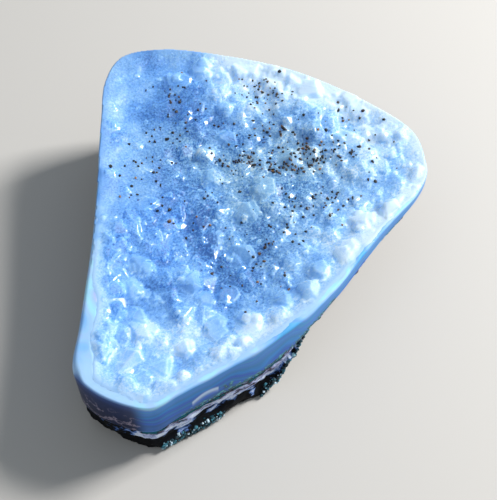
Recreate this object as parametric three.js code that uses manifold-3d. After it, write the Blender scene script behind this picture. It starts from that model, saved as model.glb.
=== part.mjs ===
// Amethyst agate specimen: a slice from the wall of a geode, in millimetres, +Z up.
// It has three layers, each a solid of its own. The basalt rind is the rough host rock that the
// piece rests on. The agate band is the chalcedony grown on it, ground smooth round the side.
// The crystal crust is the drusy quartz that lines the hollow side and faces up.
// The origin is on the surface that the piece rests on, under the middle of its outline.
import * as THREE from "three";
import { mergeVertices } from "three/addons/utils/BufferGeometryUtils.js";
import Module from "manifold-3d";

const wasm = await Module();
wasm.setup();

// The ground lip lies in one tilted plane, highest at the far end.
const LIP_HEIGHT = 20.0;
const LIP_RISE_X = -0.02;
const LIP_RISE_Y = 0.09;

// Stations round the ground side, anticlockwise from above, starting low on the left edge.
// x, y: place of the side wall. lip: radius of its rounded upper edge. margin: bare agate between
// the wall and the crystals. band: height of the agate. foot: height of the rock's lower edge.
const STATIONS = [
  { x: -32.3, y: -31.6, lip: 2.2, margin: 4.6, band: 10.4, foot: 0.6 },
  { x: -28.2, y: -35.4, lip: 1.3, margin: 4.3, band: 10.2, foot: 0.4 },
  { x: -22.0, y: -38.0, lip: 0.9, margin: 3.8, band: 9.8, foot: 0.2 },
  { x: -18.2, y: -38.4, lip: 0.8, margin: 3.2, band: 9.4, foot: 0.0 },
  { x: -14.0, y: -36.1, lip: 0.7, margin: 2.4, band: 8.6, foot: 0.0 },
  { x: -6.0, y: -31.5, lip: 0.7, margin: 2.0, band: 8.4, foot: 0.0 },
  { x: -0.4, y: -28.1, lip: 0.6, margin: 1.9, band: 8.8, foot: 0.0 },
  { x: 2.6, y: -25.9, lip: 0.6, margin: 1.8, band: 8.2, foot: 1.2 },
  { x: 5.2, y: -23.9, lip: 0.6, margin: 1.7, band: 7.4, foot: 6.2 },
  { x: 9.2, y: -20.4, lip: 0.6, margin: 1.6, band: 5.0, foot: 11.6 },
  { x: 13.4, y: -15.7, lip: 0.6, margin: 1.5, band: 4.1, foot: 13.2 },
  { x: 22.4, y: -4.1, lip: 0.5, margin: 1.3, band: 3.2, foot: 15.0 },
  { x: 29.4, y: 4.2, lip: 0.5, margin: 1.1, band: 2.5, foot: 16.4 },
  { x: 31.5, y: 8.4, lip: 0.5, margin: 1.0, band: 2.5, foot: 16.6 },
  { x: 31.5, y: 11.5, lip: 0.5, margin: 1.0, band: 2.8, foot: 16.2 },
  { x: 29.7, y: 18.4, lip: 0.5, margin: 0.8, band: 3.8, foot: 15.0 },
  { x: 20.6, y: 26.0, lip: 0.5, margin: 0.8, band: 5.6, foot: 12.5 },
  { x: 6.4, y: 33.5, lip: 0.5, margin: 0.8, band: 7.2, foot: 10.0 },
  { x: -8.0, y: 37.2, lip: 0.5, margin: 0.8, band: 8.0, foot: 8.6 },
  { x: -20.5, y: 38.4, lip: 0.6, margin: 0.9, band: 8.0, foot: 8.0 },
  { x: -28.2, y: 36.2, lip: 0.7, margin: 1.0, band: 8.0, foot: 7.4 },
  { x: -31.0, y: 30.0, lip: 0.7, margin: 1.0, band: 7.8, foot: 6.8 },
  { x: -31.1, y: 20.0, lip: 0.7, margin: 1.0, band: 7.6, foot: 5.6 },
  { x: -30.5, y: -2.0, lip: 0.8, margin: 1.1, band: 7.8, foot: 4.0 },
  { x: -30.8, y: -13.0, lip: 1.2, margin: 1.9, band: 8.4, foot: 2.6 },
  { x: -31.5, y: -24.0, lip: 1.9, margin: 3.8, band: 9.6, foot: 1.4 },
];
const CENTRE = { x: -4, y: 0 };
const STEPS_ROUND = 60;

// The hollow side: a shallow dish with a few low swellings, each x, y, height, reach.
const EDGE_DROP = 0.8; // from the lip's plane down to the crust's surface at its edge
const DISH_DEPTH = 2.6;
const SWELLINGS = [
  [9, 22, 1.5, 6],
  [18, 12, 1.2, 6],
  [2, 6, 1.2, 5],
  [-14, -16, 0.9, 6],
  [-22, -2, 0.7, 6],
  [8, -8, 0.6, 6],
];
const FLOOR_SHARES = [0.25, 0.5, 0.75]; // where the floor's rings run, from the middle to its edge
const CRUST_THICKNESS = 1.2;
const LAYER_GAP = 0.3; // clearance between two layers
const AGATE_DEPTH = 8.6; // from the lip's plane down to the back of the agate, inside
const BACK_SHARES = [0.45, 0.7, 0.85, 0.94, 0.99]; // where the back's rings run
const EDGE_CHAMFER = 0.3; // on the lower edge of the ground wall
const STEP_SLOPE = 0.1; // how far the step down into the hollow slopes

// The rock's back: flat where it rests, then rising to its lower edge.
const FLAT_REACH = 0.56;
const UNDERSIDE_SHARES = [0.28, 0.5, FLAT_REACH, 0.7, 0.82, 0.91];
const ROUGHNESS = 0.75; // height of its rolling unevenness
const ROUGH_BIAS = 0.4; // lifts the unevenness, so that more of it is hollow than proud
const ROUGH_START = 1.0; // rise beside the flat over which the unevenness grows in
const STAND_BACK = 0.08; // how far the rock stands back from the wall, for each mm that it ends higher
// Its broken side: each a share of the way up to the agate, and how far it stands in from the wall.
const ROCK_SIDE = [
  [0.05, 0.4],
  [0.25, 0.0],
  [0.5, 0.7],
  [0.8, 0.2],
  [1.0, 0.3],
];
const SIDE_WANDER = 0.45; // how far that side wanders in and out
const BREAK_TURN = 9; // how much the wandering changes from the side's foot to its top

// Quartz: a six-sided prism under a pyramid whose faces stand 38 degrees from its long axis.
const FACE_ANGLE = THREE.MathUtils.degToRad(38.2);
const PRISM_SHOW = -0.15; // height of a prism's shoulder above the hollow's surface, in radii
const PRISM_ROOT = 1.4; // depth of its root below the surface
const PLATE_TOP = 0.6; // depth below the surface of the plate that joins the crystals
const ROOT_LIMIT = 4.4; // depth that no leaning root reaches
const SINK = 1.2; // how much lower a crystal stands at the edge
const SINK_REACH = 3.5; // from the edge to where they stand at full height
const CEILING = 9; // height above the surface that no tip reaches
const UNEVEN_GROWTH = 0.3; // how much shoulders and tips vary, in radii
const PLATE_OVERHANG = 1.0; // how far the plate runs past the hollow's edge before it is cut
const SMALLEST_FACET = 0.12; // narrower facets are merged into their neighbours
const LEAN_LIMIT = THREE.MathUtils.degToRad(18);

// The large crystals that stand out, each x, y, radius.
const LARGE_CRYSTALS = [
  [-12.3, 34.0, 2.7],
  [-16.4, 30.9, 2.8],
  [-8.2, 32.6, 2.3],
  [-6.8, 24.9, 2.0],
  [-10.8, 14.4, 2.2],
  [-6.6, 18.3, 2.6],
  [-9.3, 9.2, 2.4],
  [-21.3, 2.1, 2.2],
  [-2.6, 1.3, 2.9],
  [0.4, 6.4, 3.0],
  [5.5, 13.4, 3.0],
  [10.1, 28.4, 3.2],
  [16.5, 17.7, 2.6],
  [21.9, 18.5, 2.6],
  [23.4, 1.0, 2.6],
  [18.5, -1.4, 3.2],
  [15.0, -8.0, 3.3],
  [10.4, -12.4, 2.2],
  [8.0, -16.0, 2.7],
  [3.9, -17.9, 2.2],
  [-2.3, -22.0, 3.1],
  [-7.8, -22.8, 2.9],
  [-3.7, -7.7, 3.1],
  [-12.9, -14.0, 2.8],
  [-6.2, -16.4, 2.3],
  [-9.8, -17.3, 1.9],
  [-21.8, -10.6, 2.7],
  [-22.4, -16.1, 2.3],
  [-20.6, -22.2, 3.4],
  [-23.0, -29.0, 2.9],
  [-16.8, -30.4, 3.2],
  [-13.2, -26.8, 2.1],
];
// The rest are scattered between them, the widest first and narrower ones into the gaps.
const WIDEST_SCATTERED = 3.1;
const NARROWEST_SCATTERED = 2.0;
const SCATTER_TRIES = 5000;
const CLOSENESS = 0.66; // least distance between two crystals, as a share of their two radii
const SCATTER_REACH = { x: 32, y: 39 }; // half of the field that they are scattered over
const CRYSTAL_SEED = 11;

// A repeatable stream of numbers from 0 to 1.
function randomStream(seed) {
  let state = seed;
  return () => {
    state = (state + 0x6d2b79f5) >>> 0;
    let t = state;
    t = Math.imul(t ^ (t >>> 15), t | 1);
    t ^= t + Math.imul(t ^ (t >>> 7), t | 61);
    return ((t ^ (t >>> 14)) >>> 0) / 4294967296;
  };
}

const smooth = (t) => {
  const s = Math.min(1, Math.max(0, t));
  return s * s * (3 - 2 * s);
};
const mix = (a, b, t) => a + (b - a) * t;
const lipPlane = (x, y) => LIP_HEIGHT + LIP_RISE_X * x + LIP_RISE_Y * y;

// A rolling unevenness from -1 to 1 made of crossed waves, for the broken rock.
function unevenness(x, y, z) {
  const broad = Math.sin(0.55 * x + 1.7 * Math.sin(0.31 * y + 0.4 * z));
  const middle = Math.sin(1.3 * y - 0.9 * x + 2.1 * Math.sin(0.7 * z));
  const fine = Math.sin(2.3 * x + 1.9 * y + 1.5 * z);
  return 0.45 * broad + 0.35 * middle + 0.2 * fine;
}

const wallCurve = new THREE.CatmullRomCurve3(
  STATIONS.map((s) => new THREE.Vector3(s.x, s.y, 0)),
  true,
  "centripetal",
);

// The section at a share of the way round: the wall's place and the sizes between two stations.
function sectionAt(share) {
  const t = wallCurve.getUtoTmapping(share);
  const at = t * STATIONS.length;
  const here = STATIONS[Math.floor(at) % STATIONS.length];
  const next = STATIONS[(Math.floor(at) + 1) % STATIONS.length];
  const between = smooth(at - Math.floor(at));
  const wall = wallCurve.getPoint(t);
  const section = { wall, reach: Math.hypot(wall.x - CENTRE.x, wall.y - CENTRE.y) };
  for (const size of ["lip", "margin", "band", "foot"]) {
    section[size] = mix(here[size], next[size], between);
  }
  section.hollow = 1 - section.margin / section.reach;
  return section;
}
const SECTIONS = Array.from({ length: STEPS_ROUND }, (_, i) => sectionAt(i / STEPS_ROUND));

// The place at a share of the way from the centre to the wall.
function placeAt(section, share) {
  return {
    x: mix(CENTRE.x, section.wall.x, share),
    y: mix(CENTRE.y, section.wall.y, share),
  };
}

// The section that a place lies on, and its share of the way out to the wall.
function polarOf(x, y) {
  const angle = Math.atan2(y - CENTRE.y, x - CENTRE.x);
  const turnTo = (s) => {
    const a = Math.atan2(s.wall.y - CENTRE.y, s.wall.x - CENTRE.x) - angle;
    return Math.abs(Math.atan2(Math.sin(a), Math.cos(a)));
  };
  const section = SECTIONS.reduce((best, s) => (turnTo(s) < turnTo(best) ? s : best));
  return { section, share: Math.hypot(x - CENTRE.x, y - CENTRE.y) / section.reach };
}

// The surface that the crystals stand on: the lip's plane less the dish, plus the swellings.
function hollowSurface(x, y, shareOfHollow) {
  const inside = 1 - shareOfHollow ** 2;
  const dish = DISH_DEPTH * Math.max(0, inside);
  const lumps = SWELLINGS.reduce(
    (sum, [sx, sy, height, reach]) =>
      sum + height * Math.exp(-((x - sx) ** 2 + (y - sy) ** 2) / reach ** 2),
    0,
  );
  return lipPlane(x, y) - EDGE_DROP - dish + lumps * smooth(3 * inside);
}

function agateBack(section, share) {
  const { x, y } = placeAt(section, share);
  return lipPlane(x, y) - mix(AGATE_DEPTH, section.band, share ** 5);
}

function rockBack(section, share) {
  const { x, y } = placeAt(section, share);
  const rise = smooth((share - FLAT_REACH) / (1 - FLAT_REACH)) * section.foot;
  const grown = Math.min(1, rise / ROUGH_START);
  return Math.max(0, rise + grown * ROUGHNESS * (unevenness(x, y, 0) + ROUGH_BIAS));
}

// Builds one closed solid from rings of places, from a bottom point to a top point.
function solidFromRings(bottom, rings, top) {
  const count = SECTIONS.length;
  const vertices = [bottom, ...rings.flat(), top].flatMap((p) => [p.x, p.y, p.z]);
  const last = rings.length * count + 1;
  const triangles = [];
  const at = (ring, i) => 1 + ring * count + (i % count);
  for (let i = 0; i < count; i++) {
    triangles.push(0, at(0, i + 1), at(0, i));
    triangles.push(last, at(rings.length - 1, i), at(rings.length - 1, i + 1));
    for (let ring = 0; ring + 1 < rings.length; ring++) {
      const [a, b] = [at(ring, i), at(ring, i + 1)];
      const [c, d] = [at(ring + 1, i + 1), at(ring + 1, i)];
      triangles.push(a, b, c, a, c, d);
    }
  }
  return new wasm.Manifold(
    new wasm.Mesh({
      numProp: 3,
      vertProperties: new Float32Array(vertices),
      triVerts: new Uint32Array(triangles),
    }),
  );
}

const ringAt = (share, height) =>
  SECTIONS.map((s) => {
    const part = typeof share === "function" ? share(s) : share;
    return { ...placeAt(s, part), z: height(s, part) };
  });
const middle = (z) => ({ x: CENTRE.x, y: CENTRE.y, z });

// The agate: its back, the ground wall, the rounded lip, the bare margin and the hollow's floor.
function agateBand() {
  const lipPlaneAt = (s, share) => {
    const { x, y } = placeAt(s, share);
    return lipPlane(x, y);
  };
  const lipArc = (degrees) => {
    const turn = THREE.MathUtils.degToRad(degrees);
    const share = (s) => 1 - (s.lip * (1 - Math.cos(turn))) / s.reach;
    const height = (s, at) => lipPlaneAt(s, at) - s.lip * (1 - Math.sin(turn));
    return ringAt(share, height);
  };
  const floor = (s, share) => {
    const { x, y } = placeAt(s, share);
    return hollowSurface(x, y, share / s.hollow) - CRUST_THICKNESS;
  };
  const hollowRing = (part) => ringAt((s) => s.hollow * part, floor);
  const rings = [
    ...BACK_SHARES.map((share) => ringAt(share, agateBack)),
    ringAt(1, (s, share) => agateBack(s, share) + EDGE_CHAMFER),
    lipArc(0),
    lipArc(45),
    lipArc(90),
    ringAt((s) => s.hollow + STEP_SLOPE / s.reach, lipPlaneAt),
    hollowRing(1),
    ...FLOOR_SHARES.toReversed().map(hollowRing),
  ];
  const back = middle(lipPlane(CENTRE.x, CENTRE.y) - AGATE_DEPTH);
  const front = middle(hollowSurface(CENTRE.x, CENTRE.y, 0) - CRUST_THICKNESS);
  return solidFromRings(back, rings, front);
}

// The rock: its rough back, the broken side under the agate, and a top that follows the agate.
function basaltRind() {
  const top = (s, share) => agateBack(s, share) - LAYER_GAP;
  const side = ([up, inset]) =>
    ringAt(
      (s) => {
        const { x, y } = placeAt(s, 1);
        const wander = SIDE_WANDER * unevenness(x, y, BREAK_TURN * up);
        return 1 - Math.max(0, inset + s.foot * STAND_BACK + wander) / s.reach;
      },
      (s, share) => mix(rockBack(s, 1), top(s, share), up),
    );
  const rings = [
    ...UNDERSIDE_SHARES.map((share) => ringAt(share, rockBack)),
    ...ROCK_SIDE.map(side),
    ...BACK_SHARES.toReversed().slice(1).map((share) => ringAt(share, top)),
  ];
  const under = lipPlane(CENTRE.x, CENTRE.y) - AGATE_DEPTH - LAYER_GAP;
  return solidFromRings(middle(0), rings, middle(under));
}

// One quartz crystal as a solid, standing on the crust at x, y.
function crystal(x, y, radius, random) {
  const apothem = radius * Math.cos(Math.PI / 6);
  const tip = apothem / Math.tan(FACE_ANGLE);
  const vary = () => UNEVEN_GROWTH * radius * (random() - 0.5);
  const shiftX = vary();
  const shiftY = vary();
  const points = [0, 0, -PRISM_ROOT, shiftX, shiftY, radius * PRISM_SHOW + tip];
  for (const level of [-PRISM_ROOT, radius * PRISM_SHOW]) {
    for (let i = 0; i < 6; i++) {
      const turn = (i * Math.PI) / 3;
      const uneven = level === -PRISM_ROOT ? 0 : vary();
      points.push(radius * Math.cos(turn), radius * Math.sin(turn), level + uneven);
    }
  }
  const triangles = [];
  for (let i = 0; i < 6; i++) {
    const [a, b] = [2 + i, 2 + ((i + 1) % 6)];
    triangles.push(0, b, a, a, b, b + 6, a, b + 6, a + 6, 1, a + 6, b + 6);
  }
  const { section, share } = polarOf(x, y);
  const fromEdge = (section.hollow - share) * section.reach;
  const z = hollowSurface(x, y, share / section.hollow) - SINK * (1 - smooth(fromEdge / SINK_REACH));
  const leanTo = 2 * Math.PI * random();
  const lean = LEAN_LIMIT * Math.sqrt(random());
  const turn = 2 * Math.PI * random();
  const stand = new THREE.Matrix4()
    .makeTranslation(x, y, z)
    .multiply(
      new THREE.Matrix4().makeRotationAxis(
        new THREE.Vector3(Math.cos(leanTo), Math.sin(leanTo), 0),
        lean,
      ),
    )
    .multiply(new THREE.Matrix4().makeRotationZ(turn));
  const geometry = new THREE.BufferGeometry()
    .setAttribute("position", new THREE.Float32BufferAttribute(points, 3))
    .applyMatrix4(stand);
  return new wasm.Manifold(
    new wasm.Mesh({
      numProp: 3,
      vertProperties: geometry.attributes.position.array,
      triVerts: new Uint32Array(triangles),
    }),
  );
}

// Places for all the crystals, the large ones first, so that they cover the hollow.
function crystalPlaces(random) {
  const placed = [...LARGE_CRYSTALS];
  for (let tries = 0; tries < SCATTER_TRIES; tries++) {
    const radius = mix(WIDEST_SCATTERED, NARROWEST_SCATTERED, tries / SCATTER_TRIES);
    const x = mix(-SCATTER_REACH.x, SCATTER_REACH.x, random());
    const y = mix(-SCATTER_REACH.y, SCATTER_REACH.y, random());
    const { section, share } = polarOf(x, y);
    const crowded = placed.some(
      ([px, py, other]) => Math.hypot(x - px, y - py) < CLOSENESS * (radius + other),
    );
    if (share < section.hollow && !crowded) placed.push([x, y, radius]);
  }
  return placed;
}

// The crust: a plate with every crystal fused to it, cut to the hollow by its room. The grinding
// cut the crystals off flush at the margin, and the room's floor follows the agate.
function crystalCrust() {
  const surface = (drop) => (s, share) => {
    const { x, y } = placeAt(s, share);
    return hollowSurface(x, y, share / s.hollow) - drop;
  };
  const centreZ = hollowSurface(CENTRE.x, CENTRE.y, 0);
  const layer = (drop, edgeShare) => [
    ...FLOOR_SHARES.map((part) => ringAt((s) => s.hollow * part, surface(drop))),
    ringAt(edgeShare, surface(drop)),
  ];
  const slab = (low, high, edgeShare) =>
    solidFromRings(
      middle(centreZ - low),
      [...layer(low, edgeShare), ...layer(high, edgeShare).toReversed()],
      middle(centreZ - high),
    );
  const plate = slab(ROOT_LIMIT, PLATE_TOP, (s) => s.hollow + PLATE_OVERHANG / s.reach);
  const room = slab(CRUST_THICKNESS - LAYER_GAP, -CEILING, (s) => s.hollow - LAYER_GAP / s.reach);
  const random = randomStream(CRYSTAL_SEED);
  const crystals = crystalPlaces(random).map(([x, y, r]) => crystal(x, y, r, random));
  const grown = crystals.reduce((whole, piece) => whole.add(piece), plate).intersect(room);
  const surfaces = grown.asOriginal().simplify(SMALLEST_FACET).decompose();
  // The crust is the largest of these surfaces, and any other is a pocket in it, which it fills.
  return surfaces.reduce((a, b) => (a.volume() > b.volume() ? a : b));
}

const MATERIALS = {
  agate: { color: 0x7fa8d6, roughness: 0.2, metalness: 0 },
  quartz: { color: 0x9cc6f5, roughness: 0.15, metalness: 0 },
  basalt: { color: 0x1b2226, roughness: 0.85, metalness: 0 },
};

function meshOf(name, solid, material) {
  const made = solid.getMesh();
  const geometry = new THREE.BufferGeometry()
    .setAttribute("position", new THREE.BufferAttribute(made.vertProperties, 3))
    .setIndex(new THREE.BufferAttribute(made.triVerts, 1));
  const mesh = new THREE.Mesh(
    mergeVertices(geometry),
    new THREE.MeshStandardMaterial(MATERIALS[material]),
  );
  mesh.name = name;
  return mesh;
}

const specimen = new THREE.Group();
specimen.add(
  meshOf("basalt_rind", basaltRind(), "basalt"),
  meshOf("agate_band", agateBand(), "agate"),
  meshOf("crystal_crust", crystalCrust(), "quartz"),
);

export default specimen;
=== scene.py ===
# %% [markdown]
# # A slice of geode wall
#
# The object is an amethyst agate specimen, a piece cut from the wall of a geode. Three layers
# grew on one another. The basalt is the host rock. Chalcedony, the agate, lined the cavity in it.
# Quartz then grew on the agate as a druse: thousands of small crystals, with larger ones between.
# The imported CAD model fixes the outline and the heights. This lesson puts fine surfaces in the
# place of its three solids, and gives each one the finish of the real mineral.

import itertools
import math

import bpy
import numpy as np
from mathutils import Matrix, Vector


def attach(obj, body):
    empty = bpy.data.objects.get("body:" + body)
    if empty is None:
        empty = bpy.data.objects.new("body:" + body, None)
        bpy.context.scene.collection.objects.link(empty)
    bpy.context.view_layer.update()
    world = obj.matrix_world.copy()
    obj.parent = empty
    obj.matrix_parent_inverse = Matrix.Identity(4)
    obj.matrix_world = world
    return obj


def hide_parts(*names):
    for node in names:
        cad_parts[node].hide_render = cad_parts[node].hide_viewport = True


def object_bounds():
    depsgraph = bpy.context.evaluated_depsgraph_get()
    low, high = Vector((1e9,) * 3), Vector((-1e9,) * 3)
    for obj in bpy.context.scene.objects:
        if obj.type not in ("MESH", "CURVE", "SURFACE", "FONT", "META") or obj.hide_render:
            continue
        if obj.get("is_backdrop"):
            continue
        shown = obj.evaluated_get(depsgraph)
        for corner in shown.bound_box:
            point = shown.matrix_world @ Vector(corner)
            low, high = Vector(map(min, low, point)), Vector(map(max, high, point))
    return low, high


MM = 0.001

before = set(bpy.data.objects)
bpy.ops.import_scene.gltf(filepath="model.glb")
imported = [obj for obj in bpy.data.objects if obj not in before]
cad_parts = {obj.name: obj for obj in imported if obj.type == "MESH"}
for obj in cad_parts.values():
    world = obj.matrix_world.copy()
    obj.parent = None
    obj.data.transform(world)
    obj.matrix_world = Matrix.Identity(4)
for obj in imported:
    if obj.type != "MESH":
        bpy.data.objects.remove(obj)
cad_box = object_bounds()
print("CAD nodes:", sorted(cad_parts))
print("CAD box in mm:", [[round(c / MM, 1) for c in corner] for corner in cad_box])

# %% [markdown]
# ## The outline
#
# The side of the specimen was ground on a flat wheel, so it is one smooth upright wall. It can be
# drawn by hand as a curve, or worked out from a few stations round it. Stations are better here,
# because the lip, the bare margin, the agate and the rock all change on the way round, and each
# station can hold all of these sizes. They are the stations of the CAD model, except that the
# corner at the lower left is drawn 0.7 mm further in, as it is on the real piece.
#
# Most of what changes from place to place below fades in over a few millimetres. `ease` does this:
# it needs only the two places where the change starts and ends, in either order.

# %% Stations round the wall
# x, y, radius of the lip, bare margin, height of the agate, foot of the rock. All are in mm.
STATIONS = np.array([
    (-31.6, -31.8, 2.2, 4.6, 10.4, 0.6),
    (-28.2, -35.4, 1.3, 4.3, 10.2, 0.4),
    (-22.0, -38.0, 0.9, 3.8, 9.8, 0.2),
    (-18.2, -38.4, 0.8, 3.2, 9.4, 0.0),
    (-14.0, -36.1, 0.7, 2.4, 8.6, 0.0),
    (-6.0, -31.5, 0.7, 2.0, 8.4, 0.0),
    (-0.4, -28.1, 0.6, 1.9, 8.8, 0.0),
    (2.6, -25.9, 0.6, 1.8, 8.2, 1.2),
    (5.2, -23.9, 0.6, 1.7, 7.4, 6.2),
    (9.2, -20.4, 0.6, 1.6, 5.0, 11.6),
    (13.4, -15.7, 0.6, 1.5, 4.1, 13.2),
    (22.4, -4.1, 0.5, 1.3, 3.2, 15.0),
    (29.4, 4.2, 0.5, 1.1, 2.5, 16.4),
    (31.5, 8.4, 0.5, 1.0, 2.5, 16.6),
    (31.5, 11.5, 0.5, 1.0, 2.8, 16.2),
    (29.7, 18.4, 0.5, 0.8, 3.8, 15.0),
    (20.6, 26.0, 0.5, 0.8, 5.6, 12.5),
    (6.4, 33.5, 0.5, 0.8, 7.2, 10.0),
    (-8.0, 37.2, 0.5, 0.8, 8.0, 8.6),
    (-20.5, 38.4, 0.6, 0.9, 8.0, 8.0),
    (-28.2, 36.2, 0.7, 1.0, 8.0, 7.4),
    (-31.0, 30.0, 0.7, 1.0, 7.8, 6.8),
    (-31.1, 20.0, 0.7, 1.0, 7.6, 5.6),
    (-30.5, -2.0, 0.8, 1.1, 7.8, 4.0),
    (-30.8, -13.0, 1.2, 1.9, 8.4, 2.6),
    (-31.4, -24.0, 1.9, 3.8, 9.6, 1.4),
])
CENTRE = np.array([-4.0, 0.0])
COLUMNS = 900
CURVE_STEPS = 64


def smooth(t):
    """Eases from 0 to 1: three times the square of t, less twice its cube."""
    s = np.clip(t, 0.0, 1.0)
    return s * s * (3.0 - 2.0 * s)


def ease(value, start, end):
    """0 where the value is at start or before it, 1 at end or beyond it, and smooth between."""
    return smooth((value - start) / (end - start))


def mix(a, b, t):
    """The value a share t of the way from a to b."""
    return a + (b - a) * t


def curve_through(points, steps):
    """A closed curve through the points, and how many stations along it each of its places is.

    It is the centripetal Catmull-Rom curve. A place between two points is blended from the lines
    through the four nearest points, with the points spaced by the square root of their distance.
    """
    p0, p1, p2, p3 = (np.roll(points, turn, axis=0)[:, None, :] for turn in (1, 0, -1, -2))
    knots = [np.zeros((len(points), 1, 1))]
    for a, b in ((p0, p1), (p1, p2), (p2, p3)):
        knots.append(knots[-1] + np.sqrt(np.linalg.norm(b - a, axis=-1, keepdims=True)))
    t0, t1, t2, t3 = knots
    part = np.arange(steps)[None, :, None] / steps
    t = mix(t1, t2, part)
    a1 = mix(p0, p1, (t - t0) / (t1 - t0))
    a2 = mix(p1, p2, (t - t1) / (t2 - t1))
    a3 = mix(p2, p3, (t - t2) / (t3 - t2))
    b1 = mix(a1, a2, (t - t0) / (t2 - t0))
    b2 = mix(a2, a3, (t - t1) / (t3 - t1))
    place = mix(b1, b2, (t - t1) / (t2 - t1))
    station = np.arange(len(points))[:, None] + part[..., 0]
    return place.reshape(-1, 2), station.ravel()


curve, curve_station = curve_through(STATIONS[:, :2], CURVE_STEPS)
curve = np.vstack([curve, curve[:1]])
curve_station = np.append(curve_station, len(STATIONS))
spans = np.linalg.norm(np.diff(curve, axis=0), axis=1)
length = np.concatenate([[0.0], np.cumsum(spans)])
along = np.linspace(0.0, length[-1], COLUMNS, endpoint=False)
wall = np.stack([np.interp(along, length, curve[:, k]) for k in (0, 1)], axis=1)
station = np.interp(along, length, curve_station)
before = np.floor(station).astype(int)
sizes = mix(
    STATIONS[before % len(STATIONS), 2:],
    STATIONS[(before + 1) % len(STATIONS), 2:],
    smooth(station - before)[:, None],
)
lip, margin, band, foot = sizes.T
reach = np.linalg.norm(wall - CENTRE, axis=1)
print(f"wall: {length[-1]:.0f} mm round, drawn in {COLUMNS} columns")

# %% [markdown]
# ## Noise
#
# Broken rock and grown crystal have no plain formula, so their unevenness is noise. Blender has
# noise textures that displace a mesh, but noise worked out here can also shift, sink or colour
# single crystals. Random numbers stand on a cubic lattice and are blended between its corners.

# %% Noise as whole arrays
FINER_STRENGTH = 0.55


def unevenness(points, size, seed=0):
    """Value noise from -1 to 1 with lumps of the given size.

    The lattice cell of a point is its place over the size, rounded down. A hash of each of its
    eight corners gives a random number, and these are blended by the eased place in the cell.
    """
    scaled = np.asarray(points, float) / size
    cell = np.floor(scaled).astype(np.int64)
    part = smooth(scaled - cell)
    total = np.zeros(scaled.shape[:-1])
    for corner in itertools.product((0, 1), repeat=3):
        key = (cell + corner) @ np.array([73856093, 19349663, 83492791]) + 2654435 * seed
        key = (key ^ (key >> 13)) * 1274126177 & 0x7FFFFFFF
        key = (key ^ (key >> 15)) * 668265263 & 0x7FFFFFFF
        value = (key >> 8) % 32768 / 16384.0 - 1.0
        weight = np.prod(np.where(np.array(corner) == 1, part, 1.0 - part), axis=-1)
        total += weight * value
    return total


def ruggedness(points, size, octaves, seed=0):
    """Noise summed at sizes that halve each time, each weaker than the last by the same share."""
    strengths = [FINER_STRENGTH**octave for octave in range(octaves)]
    total = sum(
        strength * unevenness(points, size / 2**octave, seed + octave)
        for octave, strength in enumerate(strengths)
    )
    return total / sum(strengths)


def on_level(xy):
    """The places with height 0, for noise that depends on x and y alone."""
    return np.concatenate([xy, np.zeros(xy.shape[:-1] + (1,))], axis=-1)


# %% [markdown]
# ## The heights
#
# The ground lip lies in one tilted plane. The hollow is a shallow dish under it with a few low
# swellings, and the back of the agate follows it underneath. Each is a plain function of the place,
# so every piece below can ask for the height anywhere, and the pieces meet without fitting.
# The lip is broad and bare only at the lower left, where the wheel took off most.

# %% Heights of the lip, the hollow and the back
LIP_HEIGHT = 20.0
LIP_RISE = np.array([-0.02, 0.09])
EDGE_DROP = 0.8
DISH_DEPTH = 2.6
# x, y, height and reach of each swelling.
SWELLINGS = (
    (9, 22, 1.5, 6),
    (18, 12, 1.2, 6),
    (2, 6, 1.2, 5),
    (-14, -16, 0.9, 6),
    (-22, -2, 0.7, 6),
    (8, -8, 0.6, 6),
)
AGATE_DEPTH = 8.6
MARGIN_WANDER = 0.35  # the crystals' edge wanders this far, because no two roots were cut alike
NARROW_MARGIN = 1.05  # where the margin is narrower than this, the crystals nearly reach the wall
LEAST_MARGIN = 0.3

wall_x, wall_y = wall.T
on_left = ease(wall_x, -28.0, -30.0) * ease(wall_y, -35.5, -32.5)
bare_on_left = margin * (0.85 + 0.25 * ease(wall_y, -14.0, -22.0))
bare = mix(np.minimum(0.85 * margin, 0.3 * margin + 0.9), bare_on_left, on_left)
bare += MARGIN_WANDER * ruggedness(on_level(wall), 3.2, 3, 5)
bare = np.maximum(np.where(margin < NARROW_MARGIN, bare - 0.5, bare), LEAST_MARGIN)
at_end = ease(wall_y, -32.5, -34.5) * ease(wall_x, -16.0, -19.0)
lip = np.minimum(0.75 * lip, 0.7 * bare) * (1.0 - 0.5 * at_end)
hollow = 1.0 - bare / reach


def bell_at(xy, x, y, wide, long):
    """A bell from 1 at x, y: e to the power of less the squared distances over its two reaches."""
    return np.exp(-(((xy[..., 0] - x) / wide) ** 2) - ((xy[..., 1] - y) / long) ** 2)


def lip_plane(xy):
    """The tilted plane that the lip was ground to: its height plus its rises times x and y."""
    return LIP_HEIGHT + xy @ LIP_RISE


def hollow_surface(xy, share):
    """The lip's plane, less a dish that is deepest in the middle, plus bell-shaped swellings."""
    inside = 1.0 - share**2
    lumps = sum(height * bell_at(xy, x, y, bell, bell) for x, y, height, bell in SWELLINGS)
    dish = EDGE_DROP + DISH_DEPTH * np.maximum(0.0, inside)
    return lip_plane(xy) - dish + lumps * smooth(3.0 * inside)


def agate_under(xy, share):
    """The back of the agate: the lip's plane less a depth, which ends in the wall's own height."""
    return lip_plane(xy) - mix(AGATE_DEPTH, band, share**5)


def edge_of(xy, values):
    """A size of the wall in the direction of each place, seen from the centre."""
    angle = np.arctan2(xy[..., 1] - CENTRE[1], xy[..., 0] - CENTRE[0])
    wall_angle = np.arctan2(wall_y - CENTRE[1], wall_x - CENTRE[0])
    return np.interp(angle, wall_angle, values, period=2.0 * np.pi)


def share_of_hollow(xy):
    """Distance from the centre, as a share of the distance to the hollow's edge."""
    return np.linalg.norm(xy - CENTRE, axis=-1) / edge_of(xy, reach * hollow)


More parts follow.
